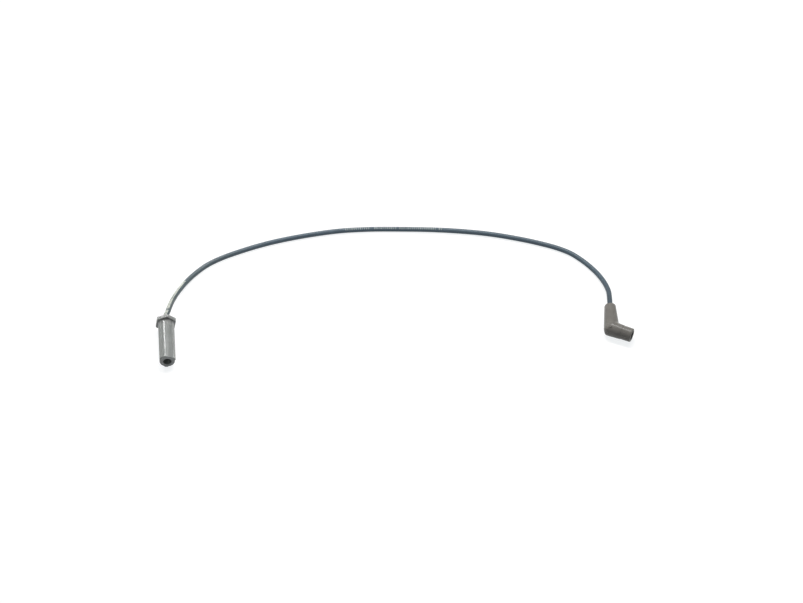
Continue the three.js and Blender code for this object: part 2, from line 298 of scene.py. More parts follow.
reach_per_step = cable_length / (len(centre_line) - 1)
uv_layer = cable.data.uv_layers.new(name="along_and_round")
for polygon in cable.data.polygons:
    columns = [cable.data.loops[i].vertex_index % CABLE_SIDES for i in polygon.loop_indices]
    wraps = max(columns) - min(columns) > CABLE_SIDES / 2
    for i in polygon.loop_indices:
        row, column = divmod(cable.data.loops[i].vertex_index, CABLE_SIDES)
        turn = column + (CABLE_SIDES if wraps and column == 0 else 0)
        uv_layer.data[i].uv = (stations[row][0] * reach_per_step, turn / CABLE_SIDES)
print("cable faces", len(cable.data.polygons))

# %% [markdown]
# ## The conductor core
# Inside the jacket runs a black core of carbon-filled fibre. Only its bared tails reach past the
# jacket, into the crimps. It is a simple rod along the same line, with rounded-off tips.

# %% Conductor core
CORE_TAIL = 2 * MM
CORE_SIDES = 16
CORE_STEP = 3
TIP_ROUNDING = 0.3 * MM


def core_stations():
    """Centre, tangent and radius of each ring of the core, tails included."""
    middle = [(centre_line[i], tangents[i], CORE_RADIUS) for i in steps_along[::CORE_STEP]]
    tail = [(CORE_TAIL, CORE_RADIUS - TIP_ROUNDING), (CORE_TAIL - TIP_ROUNDING, CORE_RADIUS)]
    begin, finish = tangents[0], tangents[-1]
    start = [(centre_line[0] - reach * begin, begin, radius) for reach, radius in tail]
    end = [(centre_line[-1] + reach * finish, finish, radius) for reach, radius in reversed(tail)]
    return start + middle + end


rings = [ring_around(*station, CORE_SIDES) for station in core_stations()]
core = skin("conductor_core_rod", rings)
print("core faces", len(core.data.polygons))

# %% [markdown]
# ## The straight plug boot
# The plug boot is one silicone moulding: a thick tube with a socket at its mouth, three grip ribs
# from the mouth to the flange, and the hexagonal flange to pull it by. Booleans would leave hard
# seams where the parts meet. Here one row of rings walks over the whole surface: up the outside,
# round the flange, in through the cable hole and back down the stepped bore to the mouth. Every
# ring is a radius for each angle, so the ribs and the hexagon are smooth changes of that radius.

# %% Plug boot sizes
PLUG_SOCKET_RADIUS = 5.4 * MM
PLUG_MOUTH_RADIUS = 10.1 * MM
PLUG_ROOT_RADIUS = 10.6 * MM
PLUG_SOCKET_DEPTH = 25 * MM
PLUG_CRIMP_START = 41 * MM
PLUG_CRIMP_END = 51 * MM
FLANGE_CORNER = 14.7 * MM
FLANGE_THICKNESS = 6 * MM
FLANGE_TURN = math.radians(18)
FLANGE_CORNER_ROUNDING = 0.35 * MM
RIM_ROUNDING = 0.7 * MM
ROOT_FILLET = 0.9 * MM
MOUTH_ROUNDING = 1.1 * MM
LEAD_IN = 0.7 * MM
RIB_COUNT = 3
RIB_HALF_WIDTH = 2.5 * MM
RIB_WALL = 0.5 * MM
RIB_TOP = 11.3 * MM
RIB_START = 0.4 * MM
RIB_END_SLOPE = 0.6 * MM
HOLE_CLEARANCE = 0.04 * MM
HOLE_ROUNDING = 0.35 * MM
CHAMBER_GAP = 0.3 * MM
NECK_LENGTH = 3 * MM
CRIMP_CHAMBER_RADIUS = 4.6 * MM
BARREL_CHAMBER_RADIUS = 4.85 * MM
PARTING_HEIGHT = 0.1 * MM
PARTING_HALF_WIDTH = 0.18 * MM
HEX_SIDES = 6
TUBE_RINGS = 44
QUARTER_STEPS = 6
BORE_QUARTER_STEPS = 4


# %% Angles of a plug boot ring
def third_of_a_turn():
    """Angles from one rib to the next, crowded at the rib's walls and at the parting line."""
    wall = math.degrees(RIB_HALF_WIDTH / RIB_TOP)
    stops = [0, wall - 2, wall + 2, 58.5, 61.5, 118 - wall, 122 - wall, 120]
    counts = [8, 12, 26, 8, 26, 12, 8]
    spans = zip(stops, stops[1:], counts)
    return np.radians(np.concatenate([np.linspace(*span, endpoint=False) for span in spans]))


rib_turns = [FLANGE_TURN + i * 2 * math.pi / RIB_COUNT for i in range(RIB_COUNT)]
turns = np.concatenate([rib_turn + third_of_a_turn() for rib_turn in rib_turns])
ones = np.ones(len(turns))
print("plug boot:", len(turns), "points a ring")


# %% Plug boot outlines
WELL_PAST_A_RIB = 0.5
TINY = 1e-9


def smooth_step(low, high, value):
    """0 below low, 1 above high, and an easy slope between."""
    t = np.clip((value - low) / (high - low), 0, 1)
    return t * t * (3 - 2 * t)


def soft_min(a, b, blend):
    """The smaller of a and b, with a fillet of about the blend's size where they meet."""
    closeness = np.clip(0.5 + 0.5 * (b - a) / (blend + TINY), 0, 1)
    return b + (a - b) * closeness - blend * closeness * (1 - closeness)


def soft_max(a, b, blend):
    """The larger of a and b, with a rounded edge where they meet."""
    return -soft_min(-a, -b, blend)


def quarter_turn(count, first=0):
    """(sine, one minus cosine) at even steps of a quarter turn, to round an edge with."""
    angles = [math.pi / 2 * i / count for i in range(first, count + 1)]
    return [(math.sin(angle), 1 - math.cos(angle)) for angle in angles]


def angle_from(angles, centre):
    """How far each angle is from a centre angle, either way."""
    return np.abs((angles - centre + math.pi) % (2 * math.pi) - math.pi)


def tube_radius(y):
    """The plain tube's radius: it widens a little from mouth to flange for the mould."""
    return PLUG_MOUTH_RADIUS + (PLUG_ROOT_RADIUS - PLUG_MOUTH_RADIUS) * y / PLUG_LENGTH


def hexagon(inset):
    """The flange's radius for each angle, with its corners eased."""
    flat = FLANGE_CORNER * math.cos(math.pi / HEX_SIDES) - inset
    offset = (turns - FLANGE_TURN) % (2 * math.pi / HEX_SIDES) - math.pi / HEX_SIDES
    other = math.pi / HEX_SIDES * 2 - np.abs(offset)
    return soft_min(flat / np.cos(offset), flat / np.cos(other), FLANGE_CORNER_ROUNDING)


def outside(y):
    """The tube with its flat-topped ribs and its parting line, for each angle."""
    radius = ones * tube_radius(y)
    presence = smooth_step(RIB_START - RIB_END_SLOPE / 2, RIB_START + RIB_END_SLOPE / 2, y)
    for rib_turn in rib_turns:
        turned = np.minimum(angle_from(turns, rib_turn), WELL_PAST_A_RIB)
        flat_top = RIB_TOP / np.cos(turned)
        away = RIB_TOP * np.tan(turned)
        bump = 1 - smooth_step(RIB_HALF_WIDTH - RIB_WALL, RIB_HALF_WIDTH + RIB_WALL, away)
        radius = radius + bump * presence * (flat_top - radius)
    away = angle_from(turns, FLANGE_TURN + 2 * math.pi / HEX_SIDES) * radius
    return radius + PARTING_HEIGHT * (1 - smooth_step(0, PARTING_HALF_WIDTH, away))


# %% Plug boot rings
def plug_boot_rings():
    """(y, radius for each angle) for the outside, from the lip of the socket to the flange."""
    front = PLUG_LENGTH - FLANGE_THICKNESS
    lip = PLUG_SOCKET_RADIUS + LEAD_IN
    face = PLUG_MOUTH_RADIUS - MOUTH_ROUNDING
    rim_front = hexagon(RIM_ROUNDING)
    rim_growth = hexagon(0) - rim_front
    rows = [(0.0, ones * (lip + part * (face - lip))) for part in (0.0, 0.35, 0.7)]
    for sine, drop in quarter_turn(QUARTER_STEPS):
        y = MOUTH_ROUNDING * drop
        rows.append((y, outside(y) - MOUTH_ROUNDING * (1 - sine)))
    for y in np.linspace(MOUTH_ROUNDING, front - ROOT_FILLET, TUBE_RINGS)[1:]:
        rows.append((y, outside(y)))
    for sine, drop in quarter_turn(QUARTER_STEPS, first=1):
        y = front - ROOT_FILLET * (1 - sine)
        rows.append((y, outside(y) + ROOT_FILLET * drop))
    base = rows[-1][1]
    rows += [(front, base + part * (rim_front - base)) for part in (0.5, 1.0)]
    for sine, drop in quarter_turn(QUARTER_STEPS, first=1):
        rows.append((front + RIM_ROUNDING * drop, rim_front + rim_growth * sine))
    for y in np.linspace(front + RIM_ROUNDING, PLUG_LENGTH - RIM_ROUNDING, 4)[1:]:
        rows.append((y, rim_front + rim_growth))
    for sine, drop in quarter_turn(QUARTER_STEPS, first=1):
        rows.append((PLUG_LENGTH - RIM_ROUNDING * (1 - sine), rim_front + rim_growth * (1 - drop)))
    return rows


def plug_bore_rings():
    """(y, radius for each angle) from the back face in through the cable hole to the mouth."""
    hole = CABLE_RADIUS + HOLE_CLEARANCE
    rim = hexagon(RIM_ROUNDING)
    rows = [(PLUG_LENGTH, rim + part * (hole + HOLE_ROUNDING - rim)) for part in (0.35, 0.7, 1.0)]
    for sine, drop in quarter_turn(BORE_QUARTER_STEPS, first=1):
        rows.append((PLUG_LENGTH - HOLE_ROUNDING * drop, ones * (hole + HOLE_ROUNDING * (1 - sine))))
    profile = [
        (PLUG_CRIMP_END + CHAMBER_GAP, hole),
        (PLUG_CRIMP_END + CHAMBER_GAP, CRIMP_CHAMBER_RADIUS),
        (PLUG_CRIMP_START, CRIMP_CHAMBER_RADIUS),
        (PLUG_CRIMP_START - NECK_LENGTH, BARREL_CHAMBER_RADIUS),
        (PLUG_SOCKET_DEPTH - CHAMBER_GAP, BARREL_CHAMBER_RADIUS),
        (PLUG_SOCKET_DEPTH - CHAMBER_GAP, PLUG_SOCKET_RADIUS),
        (LEAD_IN, PLUG_SOCKET_RADIUS),
    ]
    for sine, drop in quarter_turn(BORE_QUARTER_STEPS, first=1)[:-1]:
        profile.append((LEAD_IN * (1 - sine), PLUG_SOCKET_RADIUS + LEAD_IN * drop))
    return rows + [(y, ones * radius) for y, radius in profile]


def polar_ring(y, radius):
    """Points of a ring round the local Y axis, X to the right and Z up."""
    return [(r * math.cos(turn), y, r * math.sin(turn)) for r, turn in zip(radius, turns)]


rows = plug_boot_rings() + plug_bore_rings()
rings = place([polar_ring(*row) for row in rows], plug_frame)
plug_boot = skin("plug_boot_moulding", rings, closed_row=True)
print("plug boot:", len(rows), "rings,", len(plug_boot.data.polygons), "faces")

# %% [markdown]
# ## The elbow coil boot
# At the coil end the silicone is moulded round a corner of 114 degrees: a tapered leg for the
# cable, a nipple with a thin sleeve for the coil tower, and a bevelled knuckle between them. Two
# cones joined by a boolean would meet in a knife edge at the crotch. Here a distance rule says
# how far any point is from the moulding, with the blend at the crotch and the bevel built in.
# Rays leave a spine inside the boot and stop where that rule reaches zero, ring by ring. Only the
# stub that the mould's gate leaves is too small for those rays, so it is a turned mesh of its own.

# %% Coil boot sizes
COIL_SOCKET_RADIUS = 6 * MM
COIL_SOCKET_DEPTH = 11 * MM
COIL_MOUTH_RADIUS = 9.4 * MM
SLEEVE_LENGTH = 14 * MM
SLEEVE_STEP = 0.35 * MM
SLEEVE_DRAFT = 0.15 * MM
LEG_ROOT_RADIUS = 10.55 * MM
KNUCKLE_RADIUS = 10.7 * MM
ENTRY_RADIUS = 7.8 * MM
ENTRY_CHAMFER = 1.0 * MM
ENTRY_EASING = 0.3 * MM
ENTRY_EDGE = 0.05 * MM
CROTCH_BLEND = 1.8 * MM
RIDGE_EASING = 1.4 * MM
BEVEL_EASING = 1.3 * MM
GATE_RADIUS = 1.3 * MM
GATE_HEIGHT = 0.8 * MM
GATE_FLARE = 0.45 * MM
GATE_ROUNDING = 0.25 * MM
GATE_SINK = 0.4
GATE_DIMPLE = 0.15 * MM
GATE_SEGMENTS = 48
GATE_DIRECTION = np.array([-0.24, -0.41, 0.88])
CORNER_ROOM = 5 * MM
CRIMP_LENGTH = 10 * MM
STRAP_CHAMBER_RADIUS = 4.92 * MM
CORNER_CHAMBER_RADIUS = 5.22 * MM
PIVOT_REACH = 20 * MM
CHAMBER_RINGS = 18
COIL_SEGMENTS = 288
SEGMENT_CROWDING = 0.55
HALVINGS = 36
RAY_LENGTH = 2.2 * KNUCKLE_RADIUS
SEARCH_STEPS = 2000
BEND_RINGS = 92

cable_leg = np.array([0.0, 1.0, 0.0])
nipple_leg = np.array([math.sin(LEG_ANGLE), math.cos(LEG_ANGLE), 0.0])
inner_side = (cable_leg + nipple_leg) / np.linalg.norm(cable_leg + nipple_leg)
sleeve_start = COIL_NIPPLE_LENGTH - SLEEVE_LENGTH
print("sleeve starts", round(sleeve_start / MM, 1), "mm along the nipple")


# %% The moulding as a distance rule
def leg_distance(points, direction, stations):
    """How far points lie outside a leg whose radius follows (distance along, radius) stations."""
    reach = points @ direction
    away = np.linalg.norm(points - reach[..., None] * direction, axis=-1)
    reaches, radii = zip(*stations)
    return away - np.interp(reach, reaches, radii)


CABLE_LEG_STATIONS = [(0, LEG_ROOT_RADIUS), (COIL_CABLE_LENGTH - ENTRY_CHAMFER, ENTRY_RADIUS)]
NIPPLE_LEG_STATIONS = [(0, LEG_ROOT_RADIUS)]
for part, share in [(-1.3, 1), (-0.7, 0.85), (-0.3, 0.15), (0.3, 0)]:
    stepped = COIL_MOUTH_RADIUS + SLEEVE_DRAFT + share * SLEEVE_STEP
    NIPPLE_LEG_STATIONS.append((sleeve_start + part * SLEEVE_STEP, stepped))
NIPPLE_LEG_STATIONS.append((COIL_NIPPLE_LENGTH, COIL_MOUTH_RADIUS))


def moulding_distance(points):
    """Negative inside the elbow, positive outside it."""
    cable_side = leg_distance(points, cable_leg, CABLE_LEG_STATIONS)
    nipple_side = leg_distance(points, nipple_leg, NIPPLE_LEG_STATIONS)
    behind_both = -np.maximum(points @ cable_leg, points @ nipple_leg)
    inward = points @ inner_side
    ball = np.linalg.norm(points, axis=-1) - LEG_ROOT_RADIUS
    joined = soft_min(
        np.where(points @ cable_leg > 0, cable_side, ball),
        np.where(points @ nipple_leg > 0, nipple_side, ball),
        CROTCH_BLEND * smooth_step(0, KNUCKLE_RADIUS / 2, inward),
    )
    ridge = RIDGE_EASING * smooth_step(0, KNUCKLE_RADIUS / 3, behind_both)
    body = np.where(behind_both > 0, soft_max(cable_side, nipple_side, ridge), joined)
    body = soft_max(body, -inward - KNUCKLE_RADIUS, BEVEL_EASING)
    line = 1 - smooth_step(0, PARTING_HALF_WIDTH, np.abs(points[..., 2]))
    return body - PARTING_HEIGHT * line


# %% The spine and its rings
even_turns = np.arange(COIL_SEGMENTS) * 2 * math.pi / COIL_SEGMENTS
coil_turns = even_turns - SEGMENT_CROWDING / 2 * np.sin(2 * even_turns)
turn_of_bend = math.pi - LEG_ANGLE
pivot = PIVOT_REACH * inner_side
spine_radius = PIVOT_REACH * math.sin(LEG_ANGLE / 2)
bend_start = PIVOT_REACH * math.cos(LEG_ANGLE / 2)
bend_from = COIL_CABLE_LENGTH - bend_start
bend_to = bend_from + spine_radius * turn_of_bend
spine_length = bend_to + COIL_NIPPLE_LENGTH - bend_start
print("elbow spine", round(spine_length / MM, 1), "mm")


def spine_station(reach):
    """The spine's centre at a distance from the cable entry, and a ray for each turn."""
    turned = min(max(reach - bend_from, 0) / spine_radius, turn_of_bend)
    heading = -math.pi / 2 + turned
    travel = np.array([math.cos(heading), math.sin(heading), 0])
    side = np.array([travel[1], -travel[0], 0])
    straight_part = min(reach - bend_from, 0) + max(reach - bend_to, 0)
    rays = np.cos(coil_turns)[:, None] * side + np.sin(coil_turns)[:, None] * np.array(UP)
    return pivot + spine_radius * side + straight_part * travel, rays


def skin_radii(distance_rule, reach):
    """How far each ray runs from the spine to where the rule reaches zero, by halving."""
    centre, rays = spine_station(reach)
    low = np.zeros(COIL_SEGMENTS)
    high = np.full(COIL_SEGMENTS, RAY_LENGTH)
    for _ in range(HALVINGS):
        middle = (low + high) / 2
        beyond = distance_rule(centre + middle[:, None] * rays) > 0
        high = np.where(beyond, middle, high)
        low = np.where(beyond, low, middle)
    return (low + high) / 2


def coil_ring(reach, radii):
    """Points of a ring across the spine, for one radius or for a radius on each ray."""
    centre, rays = spine_station(reach)
    return centre + np.broadcast_to(radii, COIL_SEGMENTS)[:, None] * rays


# %% Coil boot outside
def coil_boot_outside():
    """Rings from the cable entry's face over the moulding to the nipple's end face."""
    hole = CABLE_RADIUS + HOLE_CLEARANCE + HOLE_ROUNDING
    face = skin_radii(moulding_distance, ENTRY_CHAMFER) - ENTRY_CHAMFER
    rings = [coil_ring(0, hole + part * (face - ENTRY_EASING - hole)) for part in (0.0, 0.5)]
    for part in (0.0, 0.35, 0.75):
        rings.append(coil_ring(ENTRY_EASING * part ** 2, face - ENTRY_EASING * (1 - part)))
    for part in (0.3, 0.6, 0.88):
        rings.append(coil_ring(ENTRY_CHAMFER * part, face + ENTRY_CHAMFER * part - ENTRY_EDGE))
    step_from = spine_length - SLEEVE_LENGTH - 2 * SLEEVE_STEP
    step_to = spine_length - SLEEVE_LENGTH + SLEEVE_STEP
    mouth = spine_length - MOUTH_ROUNDING
    stops = [1.3 * ENTRY_CHAMFER, bend_from, bend_to, step_from, step_to, mouth]
    for span in zip(stops, stops[1:], [34, BEND_RINGS, 8, 11, 18]):
        for reach in np.linspace(*span, endpoint=False):
            rings.append(coil_ring(reach, skin_radii(moulding_distance, reach)))
    edge = skin_radii(moulding_distance, mouth)
    for sine, drop in quarter_turn(QUARTER_STEPS):
        rings.append(coil_ring(mouth + MOUTH_ROUNDING * sine, edge - MOUTH_ROUNDING * drop))
    lip = COIL_SOCKET_RADIUS + LEAD_IN
    face = edge - MOUTH_ROUNDING
    return rings + [coil_ring(spine_length, face + part * (lip - face)) for part in (0.5, 1.0)]


# %% [markdown]
# The bore inside is stepped like the real mould core: the socket for the tower, a chamber for the
# terminal's barrel, the corner, a chamber for the crimp and the tight hole that grips the cable.
# It follows the same spine, so its rings turn the corner with the outside.

# %% Coil boot inside
def chamber_distance(points):
    """Negative inside the corner's chamber: two straight bores and a ball where they meet."""
    crimp = leg_distance(points, cable_leg, [(0, STRAP_CHAMBER_RADIUS)])
    barrel = leg_distance(points, nipple_leg, [(0, BARREL_CHAMBER_RADIUS)])
    ball = np.linalg.norm(points, axis=-1) - CORNER_CHAMBER_RADIUS
    behind = np.maximum(np.maximum(crimp, barrel), ball)
    return np.where(points @ inner_side > 0, np.minimum(crimp, barrel), behind)


def coil_boot_inside():
    """Rings from the socket's lip back through the chambers to the cable hole."""
    socket_bottom = spine_length - COIL_SOCKET_DEPTH + CHAMBER_GAP
    crimp_end = COIL_CABLE_LENGTH - CORNER_ROOM - CRIMP_LENGTH - CHAMBER_GAP
    hole = CABLE_RADIUS + HOLE_CLEARANCE
    stations = []
    for sine, _ in quarter_turn(BORE_QUARTER_STEPS, first=1):
        stations.append((spine_length - LEAD_IN * sine, COIL_SOCKET_RADIUS + LEAD_IN * (1 - sine)))
    stations += [
        (socket_bottom, COIL_SOCKET_RADIUS),
        (socket_bottom, BARREL_CHAMBER_RADIUS),
        (bend_to + CHAMBER_GAP, BARREL_CHAMBER_RADIUS),
    ]
    for reach in np.linspace(bend_to, bend_from, CHAMBER_RINGS):
        stations.append((reach, skin_radii(chamber_distance, reach)))
    stations += [
        (bend_from - CHAMBER_GAP, STRAP_CHAMBER_RADIUS),
        (crimp_end, STRAP_CHAMBER_RADIUS),
        (crimp_end, hole),
        (HOLE_ROUNDING, hole),
    ]
    for sine, drop in quarter_turn(BORE_QUARTER_STEPS, first=1)[:-1]:
        stations.append((HOLE_ROUNDING * (1 - sine), hole + HOLE_ROUNDING * drop))
    return [coil_ring(*station) for station in stations]


# %% [markdown]
# The gate is where the silicone was let into the mould. Its stub is turned on its own axis: a
# flared foot just under the skin, a short wall, a rounded edge and a shallow dimple where the
# sprue broke off. A coarser way would be to raise the skin there, but its facets would show.

# %% Gate stub
def gate_rings():
    """Rings of the gate's stub, from a flared foot under the skin to its cut end."""
    outward = GATE_DIRECTION / np.linalg.norm(GATE_DIRECTION)
    across = np.cross(outward, cable_leg)
    across = across / np.linalg.norm(across)
    third = np.cross(across, outward)
    reaches = np.linspace(0.8 * KNUCKLE_RADIUS, 1.1 * KNUCKLE_RADIUS, SEARCH_STEPS)
    foot = reaches[np.argmax(moulding_distance(reaches[:, None] * outward) > 0)]
    profile = [(-GATE_RADIUS, GATE_RADIUS + GATE_FLARE)]
    for sine, drop in quarter_turn(QUARTER_STEPS):
        profile.append((GATE_FLARE * (drop - GATE_SINK), GATE_RADIUS + GATE_FLARE * (1 - sine)))
    for sine, drop in quarter_turn(QUARTER_STEPS - 1):
        profile.append((GATE_HEIGHT - GATE_ROUNDING * (1 - sine), GATE_RADIUS - GATE_ROUNDING * drop))
    profile.append((GATE_HEIGHT, 0.55 * GATE_RADIUS))
    profile.append((GATE_HEIGHT - GATE_DIMPLE, 0.4 * GATE_RADIUS))
    angles = np.arange(GATE_SEGMENTS)[:, None] * 2 * math.pi / GATE_SEGMENTS
    circle = np.cos(angles) * across + np.sin(angles) * third
    return [(foot + height) * outward + radius * circle for height, radius in profile]


rings = coil_boot_outside() + coil_boot_inside()
moulding = skin("coil_boot_skin", place(rings, coil_frame), closed_row=True)
gate_stub = skin("coil_boot_gate", place(gate_rings(), coil_frame))
coil_boot = join("coil_boot_moulding", [moulding, gate_stub])
print("coil boot:", len(rings), "rings,", len(coil_boot.data.polygons), "faces")

# %% [markdown]
# ## The stamped terminals
# Each boot hides a terminal rolled from half-millimetre plated sheet: a crimp round the cable and
# a springy barrel with a bead that clips over the post. A boolean of cylinders would lose the
# look of sheet. So only the middle of the sheet is drawn, as an open grid with its seam, and the
# Solidify and Bevel modifiers give it its thickness and soft stamped edges.

# %% Terminal sizes
SHEET = 0.5 * MM
BARREL_RADIUS = 3.2 * MM + SHEET / 2
CRIMP_RADIUS = 3.8 * MM + SHEET / 2
BARREL_LENGTH = 13 * MM
BEAD_SETBACK = 4 * MM
BEAD_DEPTH = 0.35 * MM
BEAD_HALF_LENGTH = 0.95 * MM
SEAM_GAP = 0.9 * MM
FLARE = 0.3 * MM
FLARE_LENGTH = 0.8 * MM
STAMPED_EDGE = 0.06 * MM
SHEET_SEGMENTS = 56
STRAP_WIDTH = 3.4 * MM
STRAP_LAP = 8 * MM
STRAP_POINTS = 5
BEND_POINTS = 10
BEAD_STEPS = 12
NECK_STEPS = 6


def baked(piece):
    """Turn the piece's modifiers into plain mesh."""
    depsgraph = bpy.context.evaluated_depsgraph_get()
    mesh = bpy.data.meshes.new_from_object(piece.evaluated_get(depsgraph))
    piece.modifiers.clear()
    piece.data = mesh
    return piece


def stamped(name, rows):
    """An open sheet over equal rows of points, given its thickness and its soft edges."""
    width = len(rows[0])
    faces = []
    for i in range(len(rows) - 1):
        for corner in range(i * width, (i + 1) * width - 1):
            faces.append((corner, corner + width, corner + width + 1, corner + 1))
    piece = mesh_object(name, [point for row in rows for point in row], faces=faces)
    thickness = piece.modifiers.new("sheet_thickness", "SOLIDIFY")
    thickness.thickness = SHEET
    thickness.offset = 0
    edges = piece.modifiers.new("stamped_edge", "BEVEL")
    edges.width = STAMPED_EDGE
    edges.segments = 2
    edges.limit_method = "ANGLE"
    edges.angle_limit = math.radians(50)
    return baked(piece)


def barrel_profile(mouth, inward):
    """(y, radius) of the snap barrel from its mouth, where inward is +1 or -1 along Y."""
    profile = [(0, BARREL_RADIUS + FLARE), (FLARE_LENGTH / 2, BARREL_RADIUS + FLARE / 4)]
    profile += [(FLARE_LENGTH, BARREL_RADIUS), (BEAD_SETBACK - BEAD_HALF_LENGTH, BARREL_RADIUS)]
    for part in np.arange(1, BEAD_STEPS) / BEAD_STEPS:
        y = BEAD_SETBACK + BEAD_HALF_LENGTH * (2 * part - 1)
        profile.append((y, BARREL_RADIUS - BEAD_DEPTH * (1 - math.cos(2 * math.pi * part)) / 2))
    profile += [(BEAD_SETBACK + BEAD_HALF_LENGTH, BARREL_RADIUS), (BARREL_LENGTH, BARREL_RADIUS)]
    return [(mouth + inward * y, radius) for y, radius in profile]


def rolled(name, profile, seam_turn, local_frame):
    """Sheet rolled round local Y, open at the seam."""
    rows = []
    for y, radius in sorted(profile):
        half_gap = SEAM_GAP / 2 / radius
        stops = seam_turn + half_gap, seam_turn + 2 * math.pi - half_gap
        angles = np.linspace(*stops, SHEET_SEGMENTS)
        rows.append([(radius * math.cos(turn), y, radius * math.sin(turn)) for turn in angles])
    return stamped(name, place(rows, local_frame))


# %% Plug terminal
plug_profile = barrel_profile(PLUG_SOCKET_DEPTH, 1)
for part in np.arange(1, NECK_STEPS + 1) / NECK_STEPS:
    radius = BARREL_RADIUS + (CRIMP_RADIUS - BARREL_RADIUS) * smooth_step(0, 1, part)
    plug_profile.append((PLUG_CRIMP_START - NECK_LENGTH * (1 - part), radius))
plug_profile.append((PLUG_CRIMP_END, CRIMP_RADIUS))
plug_terminal = rolled("plug_terminal_stamping", plug_profile, -math.pi / 2, plug_frame)
print("plug terminal", len(plug_terminal.data.polygons), "faces")

# %% [markdown]
# The coil terminal is the same sheet bent round the corner: the crimp on the cable leg, the
# barrel on the nipple, and one strap between them along the outside of the bend.

# %% Coil terminal
nipple_frame = coil_frame @ Matrix.Rotation(-LEG_ANGLE, 4, "Z")
barrel_mouth = COIL_NIPPLE_LENGTH - COIL_SOCKET_DEPTH
crimp_profile = [(CORNER_ROOM, CRIMP_RADIUS), (CORNER_ROOM + CRIMP_LENGTH, CRIMP_RADIUS)]
coil_crimp = rolled("coil_crimp", crimp_profile, 0, coil_frame)
coil_barrel = rolled("coil_barrel", barrel_profile(barrel_mouth, -1), math.pi, nipple_frame)


def strap_line():
    """Points of the strap in the plane of the bend, from the crimp to the barrel."""
    across = np.array([nipple_leg[1], -nipple_leg[0], 0])
    on_barrel, end = [nipple_leg * t + across * BARREL_RADIUS for t in (CRIMP_RADIUS / 2, STRAP_LAP)]
    start = np.array([-CRIMP_RADIUS, STRAP_LAP, 0])
    on_crimp = np.array([-CRIMP_RADIUS, CRIMP_RADIUS / 2, 0])
    reach = (-CRIMP_RADIUS - across[0] * BARREL_RADIUS) / nipple_leg[0]
    corner = nipple_leg * reach + across * BARREL_RADIUS
    curve = []
    for t in np.linspace(0, 1, BEND_POINTS):
        curve.append((1 - t) ** 2 * on_crimp + 2 * t * (1 - t) * corner + t ** 2 * on_barrel)
    return [start, *curve, end]


strap_heights = np.linspace(-STRAP_WIDTH / 2, STRAP_WIDTH / 2, STRAP_POINTS)
strap_rows = [[point + np.array([0, 0, z]) for z in strap_heights] for point in strap_line()]
strap = stamped("coil_strap", place(strap_rows, coil_frame))
coil_terminal = join("coil_terminal_stamping", [coil_crimp, coil_barrel, strap])
print("coil terminal", len(coil_terminal.data.polygons), "faces")

# %% [markdown]
# ## Node helpers
# Finishes are shader trees, and what repeats along the cable is a geometry tree. Both are built
# in the same way: add a node, and give each of its inputs a value or a link. One helper does
# both, so a node takes one line.

# %% Node tree helpers
def feed(tree, target, value):
    """Link a socket to the target input, or set a plain value on it."""
    if isinstance(value, bpy.types.NodeSocket):
        tree.links.new(value, target)
    else:
        target.default_value = value


def add_node(tree, kind, settings=(), **values):
    """A node with its settings, and a value or a link for its inputs by name."""
    node = tree.nodes.new(kind)
    for key, value in dict(settings).items():
        setattr(node, key, value)
    for key, value in values.items():
        feed(tree, node.inputs[key.replace("_", " ")], value)
    return node


def output_of(tree, kind, settings=(), **values):
    """The first output in use of a new node."""
    node = add_node(tree, kind, settings, **values)
    return next(socket for socket in node.outputs if socket.enabled)


def math_node(tree, operation, *sources):
    """The result of a math node on numbers or sockets."""
    node = add_node(tree, "ShaderNodeMath", {"operation": operation})
    for target, source in zip(node.inputs, sources):
        feed(tree, target, source)
    return node.outputs[0]


def new_tree(name, inputs):
    """A geometry node tree, and the sockets of its named inputs."""
    tree = bpy.data.node_groups.new(name, "GeometryNodeTree")
    for label, kind in {"Geometry": "Geometry", **inputs}.items():
        tree.interface.new_socket(name=label, in_out="INPUT", socket_type="NodeSocket" + kind)
    tree.interface.new_socket(name="Geometry", in_out="OUTPUT", socket_type="NodeSocketGeometry")
    return tree, tree.nodes.new("NodeGroupInput").outputs


def close_tree(tree, geometry, material):
    """Realize the instances, set their material and send the result out."""
    real = output_of(tree, "GeometryNodeRealizeInstances", Geometry=geometry)
    finished = output_of(tree, "GeometryNodeSetMaterial", Geometry=real, Material=material)
    add_node(tree, "NodeGroupOutput", Geometry=finished)
    print(tree.name, "has", len(tree.nodes), "nodes")


def run_tree(piece, tree, values):
    """Evaluate the tree on a piece with values for its named inputs, and bake the result."""
    modifier = piece.modifiers.new(tree.name, "NODES")
    modifier.node_group = tree
    for item in tree.interface.items_tree:
        if item.item_type == "SOCKET" and item.in_out == "INPUT" and item.name in values:
            modifier[item.identifier] = values[item.name]
    return baked(piece)


# %% [markdown]
# ## Finishes
# Every surface here is plain to the eye and busy up close: silicone has a faint clouding and a
# matt mould grain, sheet metal has rolling marks. A flat colour would look like a toy. Each
# finish is a Principled shader whose colour, roughness and bump come from noise on Object
# coordinates, so nothing slides when the part is seen from another side.

